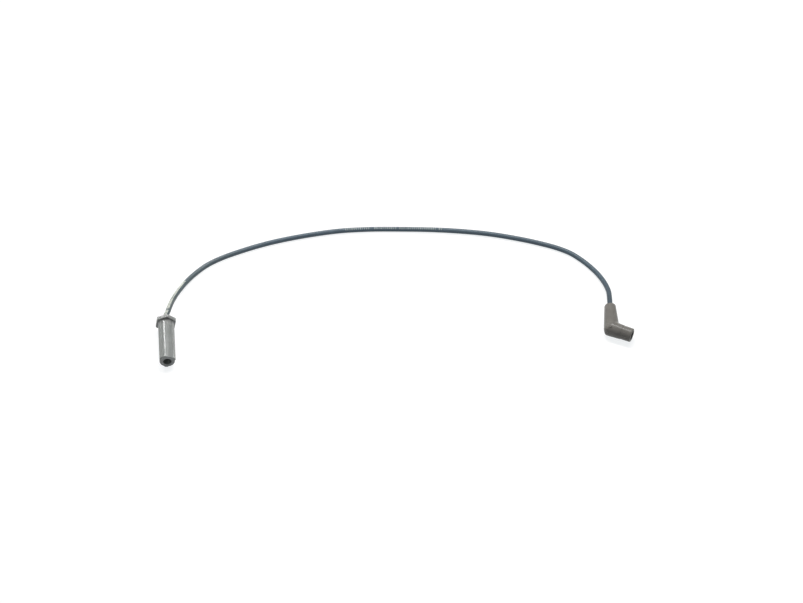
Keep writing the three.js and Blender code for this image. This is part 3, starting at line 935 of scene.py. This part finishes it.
# %% Finish helpers
class Finish:
    """A material under construction: a shader, and short ways to feed it."""

    def __init__(self, name, roughness, ior, metallic=0.0, gloss=0.5):
        self.material = bpy.data.materials.new(name)
        self.material.use_nodes = True
        self.tree = self.material.node_tree
        self.coordinates = self.tree.nodes.new("ShaderNodeTexCoord").outputs["Object"]
        self.surface(Roughness=roughness, IOR=ior, Metallic=metallic, Specular_IOR_Level=gloss)

    def surface(self, **values):
        """Feed the shader's inputs by name."""
        shader = self.tree.nodes["Principled BSDF"]
        for key, value in values.items():
            feed(self.tree, shader.inputs[key.replace("_", " ")], value)

    def noise(self, scale, detail=2.0, vector=None):
        """Noise over the part or over a given vector; three scales stretch it each way."""
        source = self.coordinates if vector is None else vector
        if isinstance(scale, tuple):
            source = output_of(self.tree, "ShaderNodeMapping", Vector=source, Scale=scale)
            scale = 1.0
        return output_of(self.tree, "ShaderNodeTexNoise", Vector=source, Scale=scale, Detail=detail)

    def ramp(self, value, stops):
        """Colour for a value; the two stops are (position, colour)."""
        ramp = add_node(self.tree, "ShaderNodeValToRGB", Fac=value)
        for element, (position, colour) in zip(ramp.color_ramp.elements, stops):
            element.position = position
            element.color = (*colour, 1)
        return ramp.outputs["Color"]

    def between(self, value, low, high, from_low=0.3, from_high=0.7):
        """A value spread over low to high."""
        ends = {"From_Min": from_low, "From_Max": from_high, "To_Min": low, "To_Max": high}
        return output_of(self.tree, "ShaderNodeMapRange", Value=value, **ends)

    def mix(self, share, first, second):
        """A share of the second colour over the first."""
        mix = add_node(self.tree, "ShaderNodeMix", {"data_type": "RGBA"})
        for index, source in ((0, share), (6, first), (7, second)):
            feed(self.tree, mix.inputs[index], (*source, 1) if isinstance(source, tuple) else source)
        return mix.outputs[2]

    def bump(self, layers):
        """Bumps on top of each other: (height value, distance in metres) for each layer."""
        below = {}
        for height, depth in layers:
            bump = {"Strength": 1.0, "Distance": depth, "Height": height, **below}
            below["Normal"] = output_of(self.tree, "ShaderNodeBump", **bump)
        self.surface(**below)


def shade(colour, factor):
    """The same colour, lighter or darker."""
    return tuple(channel * factor for channel in colour)


slot_colours = {entry["slot"]: tuple(entry["base_color"][:3]) for entry in frame["record"]["materials"]}
print("slots:", sorted(slot_colours))

# %% [markdown]
# Moulded silicone is satin. The mould's spark-eroded walls leave a grain of about a fifth of a
# millimetre, the filler clouds the colour over a centimetre or so, and handling leaves it a
# little shinier in patches.

# %% Moulded silicone
SILICONE_IOR = 1.41
CLOUD_SCALE = 70
PATCH_SCALE = 26
GRAIN_SCALE = 4200
DIMPLE_SCALE = 900
DIMPLE_SHARE = 2.5


def moulded_silicone(name, colour, roughness, gloss, grain_depth, tint):
    """Satin silicone: clouded colour, mould grain, and patches that handling has polished."""
    finish = Finish(name, roughness, SILICONE_IOR, gloss=gloss)
    clouds = finish.noise(CLOUD_SCALE, detail=3.0)
    patches = finish.noise(PATCH_SCALE)
    grain = finish.noise(GRAIN_SCALE, detail=1.0)
    dimples = finish.noise(DIMPLE_SCALE)
    base = finish.ramp(clouds, [(0.32, shade(colour, 0.88)), (0.68, shade(colour, 1.1))])
    finish.surface(
        Base_Color=finish.mix(finish.between(patches, 0.0, 0.5), base, tint),
        Roughness=finish.between(patches, roughness - 0.06, roughness + 0.08),
    )
    finish.bump([(grain, grain_depth), (dimples, DIMPLE_SHARE * grain_depth)])
    return finish.material


plug_silicone = moulded_silicone(
    "plug_boot_grey_silicone", shade(slot_colours["plug_boot_silicone"], 0.78),
    roughness=0.23, gloss=0.76, grain_depth=0.0025 * MM, tint=(0.188, 0.18, 0.173),
)
coil_silicone = moulded_silicone(
    "coil_boot_brown_grey_silicone", slot_colours["coil_boot_silicone"],
    roughness=0.27, gloss=0.2, grain_depth=0.004 * MM, tint=(0.165, 0.16, 0.15),
)
print("moulded silicones ready")

# %% [markdown]
# The jacket is extruded, so its marks run lengthwise. The UV map lets the noise stretch along U.
# The compound is a slate blue. It is greyer towards the plug end, where heat has dulled it.
# The last centimetres before the coil boot are darkened as painted shade.

# %% Extruded jacket
DULL_FROM = 0.02
DULL_TO = 0.26
COIL_END_SHADE_FROM = 0.1
COIL_END_SHADE_TO = 0.05
COIL_END_SHADE_SHARE = 0.75
MARK_SCALES = (60, 26, 1)
FINE_MARK_SCALES = (220, 90, 1)
SPECK_SCALE = 2600
JACKET_CLOUD_SCALE = 55
DULLED_SLATE = (0.1, 0.113, 0.1)
LIGHT_SLATE = (0.11, 0.165, 0.21)
DEEP_SLATE = (0.055, 0.085, 0.11)
DUST = (0.32, 0.33, 0.33)


def extruded_jacket(name, colour):
    """Slate silicone with lengthwise drawing marks and a dusting of fine specks."""
    finish = Finish(name, roughness=0.36, ior=SILICONE_IOR, gloss=0.3)
    map_node = add_node(finish.tree, "ShaderNodeUVMap", {"uv_map": "along_and_round"})
    map_out = map_node.outputs["UV"]
    marks = finish.noise(MARK_SCALES, detail=3.0, vector=map_out)
    fine_marks = finish.noise(FINE_MARK_SCALES, vector=map_out)
    specks = finish.noise(SPECK_SCALE, detail=1.0)
    clouds = finish.noise(JACKET_CLOUD_SCALE)
    along_cable = output_of(finish.tree, "ShaderNodeSeparateXYZ", Vector=map_out)
    base = finish.mix(finish.between(along_cable, 0.0, 1.0, DULL_FROM, DULL_TO), DULLED_SLATE, colour)
    # painted shade: the last centimetres before the coil boot are mixed towards a darker slate
    painted_shade_ends = cable_length - COIL_END_SHADE_FROM, cable_length - COIL_END_SHADE_TO
    base = finish.mix(finish.between(along_cable, 0.0, COIL_END_SHADE_SHARE, *painted_shade_ends), base, shade(colour, 0.4))
    lighter = finish.mix(finish.between(marks, 0.0, 0.25), base, LIGHT_SLATE)
    dusty = finish.mix(finish.between(specks, 0.0, 0.16, 0.55, 0.75), lighter, DUST)
    finish.surface(
        Base_Color=finish.mix(finish.between(clouds, 0.0, 0.25), dusty, DEEP_SLATE),
        Roughness=finish.between(marks, 0.3, 0.44),
    )
    finish.bump([(fine_marks, 0.015 * MM), (specks, 0.008 * MM)])
    return finish.material


jacket = extruded_jacket("slate_blue_jacket", slot_colours["cable_jacket"])
print("jacket ready")

# %% [markdown]
# The hidden pieces are finished too: plated sheet with rolling marks, bright drawn wire, and the
# core's black fibre. The marking has two inks, both matt and a little worn: a pale one near the
# plug boot, which is print made paler as a painted highlight, and a greyer one on the crown,
# where more of it has rubbed off.

# %% Metals, core and ink
TARNISH_SCALE = 300
TIGHT_LAY = {
    "roughness": 0.8, "scale": (2500, 600, 2500), "detail": 2.0,
    "stops": [(0.3, 0.6), (0.7, 1.9)], "depth": 0.04 * MM,
}
WORN_INK = {
    "roughness": 0.55, "scale": 1500, "detail": 3.0,
    "stops": [(0.28, 0.5), (0.48, 1.0)], "depth": 0.01 * MM,
}


def drawn_metal(name, colour, roughness, scale):
    """Plated metal whose fine marks run one way, with a faint tarnish."""
    finish = Finish(name, roughness, ior=1.5, metallic=1.0)
    marks = finish.noise(scale, detail=3.0)
    tarnish = finish.noise(TARNISH_SCALE, detail=3.0)
    finish.surface(
        Base_Color=finish.ramp(tarnish, [(0.35, shade(colour, 0.82)), (0.6, colour)]),
        Roughness=finish.between(marks, roughness - 0.08, roughness + 0.12),
    )
    finish.bump([(marks, 0.006 * MM)])
    return finish.material


def speckled(name, colour, roughness, scale, detail, stops, depth):
    """A matt surface that noise darkens or lightens at (position, share) stops, and raises."""
    finish = Finish(name, roughness, ior=1.45)
    specks = finish.noise(scale, detail)
    finish.surface(Base_Color=finish.ramp(specks, [(at, shade(colour, share)) for at, share in stops]))
    finish.bump([(specks, depth)])
    return finish.material


sheet_metal = drawn_metal("plated_sheet", slot_colours["terminal_metal"], 0.34, (300, 4000, 4000))
spring_metal = drawn_metal("bright_spring_wire", slot_colours["spring_wire"], 0.24, (3000, 3000, 600))
core_fibre = speckled("black_core_fibre", slot_colours["conductor"], **TIGHT_LAY)
# print near the plug, made paler than the crown's ink as a painted highlight
pale_ink_and_highlight = speckled("pale_marking_ink_and_painted_highlight", (0.56, 0.58, 0.51), **WORN_INK)
worn_ink = speckled("worn_marking_ink", (0.3, 0.335, 0.325), **WORN_INK)
print("finishes:", len(bpy.data.materials))

# %% [markdown]
# ## Spring rings by Geometry Nodes
# A ring of spring wire sits in the bead's groove and keeps the barrel tight on the post. Both
# rings follow one rule, an open arc with a round section, so a small node tree makes them: Arc,
# Curve Circle, Curve to Mesh. Its sizes are named inputs, set by identifier on each modifier.

# %% Spring ring tree
ring_tree, ring_sizes = new_tree(
    "spring_ring", {"Wire Radius": "Float", "Ring Radius": "Float", "Sweep": "Float", "Finish": "Material"}
)
by_radius = {"mode": "RADIUS"}
arc = output_of(
    ring_tree, "GeometryNodeCurveArc", by_radius,
    Resolution=72, Radius=ring_sizes["Ring Radius"], Sweep_Angle=ring_sizes["Sweep"],
)
section = output_of(
    ring_tree, "GeometryNodeCurvePrimitiveCircle", by_radius, Resolution=16, Radius=ring_sizes["Wire Radius"]
)
wire = output_of(ring_tree, "GeometryNodeCurveToMesh", Curve=arc, Profile_Curve=section, Fill_Caps=True)
close_tree(ring_tree, wire, ring_sizes["Finish"])

# %% Both spring rings
RING_OPENING = math.radians(70)
RING_VALUES = {
    "Wire Radius": 0.45 * MM,
    "Ring Radius": 4.1 * MM,
    "Sweep": 2 * math.pi - RING_OPENING,
    "Finish": spring_metal,
}


def spring_ring(name, local_frame, mouth_to_groove, seam_turn):
    """A ring round local Y, open towards the seam of its terminal."""
    piece = run_tree(mesh_object(name), ring_tree, RING_VALUES)
    stand = Matrix.Rotation(math.pi / 2, 4, "X")
    open_at_seam = Matrix.Rotation(-(seam_turn + RING_OPENING / 2), 4, "Y")
    piece.data.transform(local_frame @ Matrix.Translation((0, mouth_to_groove, 0)) @ open_at_seam @ stand)
    piece.data.shade_smooth()
    return piece


plug_groove = PLUG_SOCKET_DEPTH + BEAD_SETBACK
plug_spring = spring_ring("plug_spring_ring", plug_frame, plug_groove, -math.pi / 2)
coil_spring = spring_ring("coil_spring_ring", nipple_frame, barrel_mouth - BEAD_SETBACK, math.pi)
print("ring faces", len(plug_spring.data.polygons))

# %% [markdown]
# ## The marking
# Plain pale dashes lie along the outer side of the cable, in two groups. They follow the path and
# repeat, so Geometry Nodes lay them: the centre line becomes points one pitch apart, a curved pad
# of ink is set on each, and a seeded random choice leaves gaps. Loose quads would be quicker to
# place, but they wouldn't bend with the cable. The dashes turn slowly round the jacket, as
# extruded cable twists a little on its reel.

# %% Marking tree
ARC_POINTS = 9
PAD_POINTS = 3
SHORTEST_PAD = 0.55
MERGE_DISTANCE = 0.001 * MM


def ink_pad(tree, sizes):
    """A closed pad of ink bent round the jacket: its middle is over local +Z, its length on X."""
    flat = output_of(
        tree, "GeometryNodeMeshGrid",
        Size_X=sizes["Dash Length"], Size_Y=1.0, Vertices_X=PAD_POINTS, Vertices_Y=ARC_POINTS,
    )
    position = output_of(tree, "GeometryNodeInputPosition")
    split = add_node(tree, "ShaderNodeSeparateXYZ", Vector=position).outputs
    angle = math_node(tree, "MULTIPLY", split["Y"], sizes["Dash Arc"])
    sideways = math_node(tree, "MULTIPLY", math_node(tree, "SINE", angle), sizes["Jacket Radius"])
    upwards = math_node(tree, "MULTIPLY", math_node(tree, "COSINE", angle), sizes["Jacket Radius"])
    bent = output_of(tree, "ShaderNodeCombineXYZ", X=split["X"], Y=sideways, Z=upwards)
    underside = output_of(tree, "GeometryNodeSetPosition", Geometry=flat, Position=bent)
    raised = output_of(
        tree, "GeometryNodeExtrudeMesh", {"mode": "FACES"},
        Mesh=underside, Individual=False, Offset_Scale=sizes["Ink Thickness"],
    )
    flipped = output_of(tree, "GeometryNodeFlipFaces", Mesh=underside)
    both = add_node(tree, "GeometryNodeJoinGeometry", Geometry=flipped)
    feed(tree, both.inputs["Geometry"], raised)
    joined = both.outputs["Geometry"]
    return output_of(tree, "GeometryNodeMergeByDistance", Geometry=joined, Distance=MERGE_DISTANCE)


def marking_nodes(tree, sizes):
    """Points along the path, a pad on each kept point, turned to lie on the marked side."""
    path = output_of(tree, "GeometryNodeMeshToCurve", Mesh=sizes["Geometry"])
    by_length = {"mode": "LENGTH"}
    dots = add_node(tree, "GeometryNodeCurveToPoints", by_length, Curve=path, Length=sizes["Pitch"]).outputs
    align = "FunctionNodeAlignRotationToVector"
    forward = output_of(tree, align, {"axis": "X"}, Vector=dots["Tangent"])
    upright = output_of(tree, align, {"axis": "Z", "pivot_axis": "X"}, Rotation=forward, Vector=UP)
    index = output_of(tree, "GeometryNodeInputIndex")
    turned = math_node(tree, "MULTIPLY", index, sizes["Turn Per Step"])
    angle = math_node(tree, "ADD", sizes["Turn"], turned)
    roll = output_of(tree, "FunctionNodeAxisAngleToRotation", Axis=(1, 0, 0), Angle=angle)
    local = {"rotation_space": "LOCAL"}
    lie = output_of(tree, "FunctionNodeRotateRotation", local, Rotation=upright, Rotate_By=roll)
    draw = "FunctionNodeRandomValue"
    seed = sizes["Seed"]
    kept = output_of(tree, draw, {"data_type": "BOOLEAN"}, Probability=sizes["Kept Share"], Seed=seed)
    shortest = (SHORTEST_PAD, 1, 1)
    stretch = output_of(tree, draw, {"data_type": "FLOAT_VECTOR"}, Min=shortest, Max=(1, 1, 1), Seed=seed)
    pads = output_of(
        tree, "GeometryNodeInstanceOnPoints",
        Points=dots["Points"], Selection=kept, Instance=ink_pad(tree, sizes), Rotation=lie, Scale=stretch,
    )
    close_tree(tree, pads, sizes["Finish"])


numbers = ("Pitch", "Dash Length", "Dash Arc", "Jacket Radius", "Ink Thickness", "Turn", "Turn Per Step")
kinds = {**dict.fromkeys(numbers, "Float"), "Kept Share": "Float", "Seed": "Int", "Finish": "Material"}
marking_tree, marking_sizes = new_tree("marking_dashes", kinds)
marking_nodes(marking_tree, marking_sizes)

# %% Two groups of dashes
INK_SINK = 0.015 * MM
DASHES_START = 1 * MM
DASHES_END = 86 * MM
CROWN_FROM = -70 * MM
CROWN_TO = 66 * MM
SHARED_VALUES = {"Jacket Radius": CABLE_RADIUS - INK_SINK, "Ink Thickness": 0.05 * MM}


def dashes(name, from_reach, to_reach, values):
    """Pads of ink over a stretch of the cable's centre line, as one mesh."""
    low, high = (round(reach / reach_per_step) for reach in (from_reach, to_reach))
    path = mesh_object(name, centre_line[low:high + 1], edges=[(i, i + 1) for i in range(high - low)])
    return run_tree(path, marking_tree, {**SHARED_VALUES, **values})


def reach_at(x):
    """How far along the cable it passes a given X on the arch."""
    nearest = min(range(len(centre_line)), key=lambda i: abs(centre_line[i].x - x))
    return nearest * reach_per_step


plug_exit_reach = PLUG_LENGTH - PLUG_CABLE_STOP
# near the plug the dashes are wide and pale: print with a painted highlight
plug_dashes = dashes("marking_near_plug", plug_exit_reach + DASHES_START, plug_exit_reach + DASHES_END, {
    "Pitch": 2.5 * MM, "Dash Length": 2.3 * MM, "Dash Arc": math.radians(108), "Finish": pale_ink_and_highlight,
    "Turn": math.radians(-30), "Turn Per Step": math.radians(-0.4), "Kept Share": 0.9, "Seed": 4,
})
crown_dashes = dashes("marking_on_crown", reach_at(CROWN_FROM), reach_at(CROWN_TO), {
    "Pitch": 2.9 * MM, "Dash Length": 1.5 * MM, "Dash Arc": math.radians(70), "Finish": worn_ink,
    "Turn": math.radians(10), "Turn Per Step": 0.0, "Kept Share": 0.88, "Seed": 11,
})
print("dash faces", len(plug_dashes.data.polygons), len(crown_dashes.data.polygons))

# %% [markdown]
# ## The pale floor
# The background is white without extra light on the part. The floor is a pale matt sheet. What
# the camera and the reflections see of it gets a steady glow on top, which lifts the open floor
# to white and still leaves the soft contact shadow.

# %% Floor
FLOOR_HALF = 5.0
FLOOR_GLOW = 0.85
GLOW_COLOUR = (0.96, 0.985, 1)
FLOOR_PALE = (0.68, 0.71, 0.75)
FLOOR_SEEN = (0.27, 0.25, 0.235)


def two_ways(tree, bounced, seen, output_name):
    """One shader for the light that bounces on, and another for what is seen directly."""
    path = tree.nodes.new("ShaderNodeLightPath").outputs
    either = math_node(tree, "MAXIMUM", path["Is Camera Ray"], path["Is Glossy Ray"])
    directly = math_node(tree, "MAXIMUM", either, path["Is Transmission Ray"])
    choice = add_node(tree, "ShaderNodeMixShader")
    for target, source in zip(choice.inputs, (directly, bounced, seen)):
        feed(tree, target, source)
    feed(tree, tree.nodes[output_name].inputs["Surface"], choice.outputs[0])


corners = [(x * FLOOR_HALF, y * FLOOR_HALF, 0) for x, y in [(-1, -1), (1, -1), (1, 1), (-1, 1)]]
floor = mesh_object("floor", corners, faces=[(0, 1, 2, 3)])
floor_finish = bpy.data.materials.new("pale_floor")
floor_finish.use_nodes = True
floor_tree = floor_finish.node_tree
floor_tree.nodes.remove(floor_tree.nodes["Principled BSDF"])
plain = output_of(floor_tree, "ShaderNodeBsdfDiffuse", Color=(*FLOOR_PALE, 1))
seen = output_of(floor_tree, "ShaderNodeBsdfDiffuse", Color=(*FLOOR_SEEN, 1))
glow = output_of(floor_tree, "ShaderNodeEmission", Color=(*GLOW_COLOUR, 1), Strength=FLOOR_GLOW)
lifted = add_node(floor_tree, "ShaderNodeAddShader")
feed(floor_tree, lifted.inputs[0], seen)
feed(floor_tree, lifted.inputs[1], glow)
two_ways(floor_tree, plain, lifted.outputs[0], "Material Output")
floor.data.materials.append(floor_finish)
print("floor", 2 * FLOOR_HALF, "m square")

# %% [markdown]
# ## Light
# A wide, shallow soft box hangs over the part and a little behind it, so tops are light and the
# faces towards the camera are dark. A second one stands behind the left end. A grid narrows its
# beam to the plug boot, where it draws the long highlight down the tube, and keeps it off the
# rest. The world fills what both leave dark.

# %% Lamps and world
WORLD_FILL = 0.2
WHITE = (1, 1, 1, 1)


def soft_box(name, place_at, aim_at, width, height, power, spread=math.pi):
    """A rectangular area lamp that faces a point; spread narrows its beam."""
    data = bpy.data.lights.new(name, "AREA")
    data.shape = "RECTANGLE"
    data.size = width
    data.size_y = height
    data.energy = power
    data.spread = spread
    lamp = bpy.data.objects.new(name, data)
    lamp.location = place_at
    lamp.rotation_euler = (Vector(aim_at) - Vector(place_at)).to_track_quat("-Z", "Y").to_euler()
    bpy.context.scene.collection.objects.link(lamp)


soft_box("overhead_soft_box", (0.16, 0.62, 1.36), (0.1, 0.05, 0), width=0.9, height=0.28, power=22)
soft_box(
    "rear_left_soft_box", (-0.93, 1.13, 1.02), (-0.37, 0.03, 0),
    width=0.28, height=0.5, power=0.98, spread=math.radians(44),
)

world = bpy.data.worlds.new("soft_room")
bpy.context.scene.world = world
world.use_nodes = True
world_tree = world.node_tree
room = world_tree.nodes["Background"]
room.inputs["Color"].default_value = WHITE
room.inputs["Strength"].default_value = WORLD_FILL
backdrop = output_of(world_tree, "ShaderNodeBackground", Color=WHITE, Strength=1.0)
two_ways(world_tree, room.outputs[0], backdrop, "World Output")
bpy.context.scene.view_settings.view_transform = "Standard"

# %% [markdown]
# ## Who carries what
# Each finished piece takes its finish, rides on the one body, names its slot in the record and
# stands for the solids that it replaces.

# %% Pieces, finishes and the cord
pieces = [
    (plug_boot, plug_silicone, "plug_boot_silicone", ["plug_boot"]),
    (coil_boot, coil_silicone, "coil_boot_silicone", ["coil_boot"]),
    (cable, jacket, "cable_jacket", ["ignition_cable"]),
    (core, core_fibre, "conductor", ["conductor_core"]),
    (plug_terminal, sheet_metal, "terminal_metal", ["plug_terminal"]),
    (coil_terminal, sheet_metal, "terminal_metal", ["coil_terminal"]),
    (plug_spring, spring_metal, "spring_wire", ["plug_snap_ring"]),
    (coil_spring, spring_metal, "spring_wire", ["coil_snap_ring"]),
    (plug_dashes, pale_ink_and_highlight, "cable_jacket", []),
    (crown_dashes, worn_ink, "cable_jacket", []),
]
for piece, finish, slot, nodes in pieces:
    piece.data.materials.clear()
    piece.data.materials.append(finish)
    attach(piece, "root")
    if nodes:
        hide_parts(*nodes)

print("pieces:", len(pieces), "cord", round(cable_length, 3), "m")
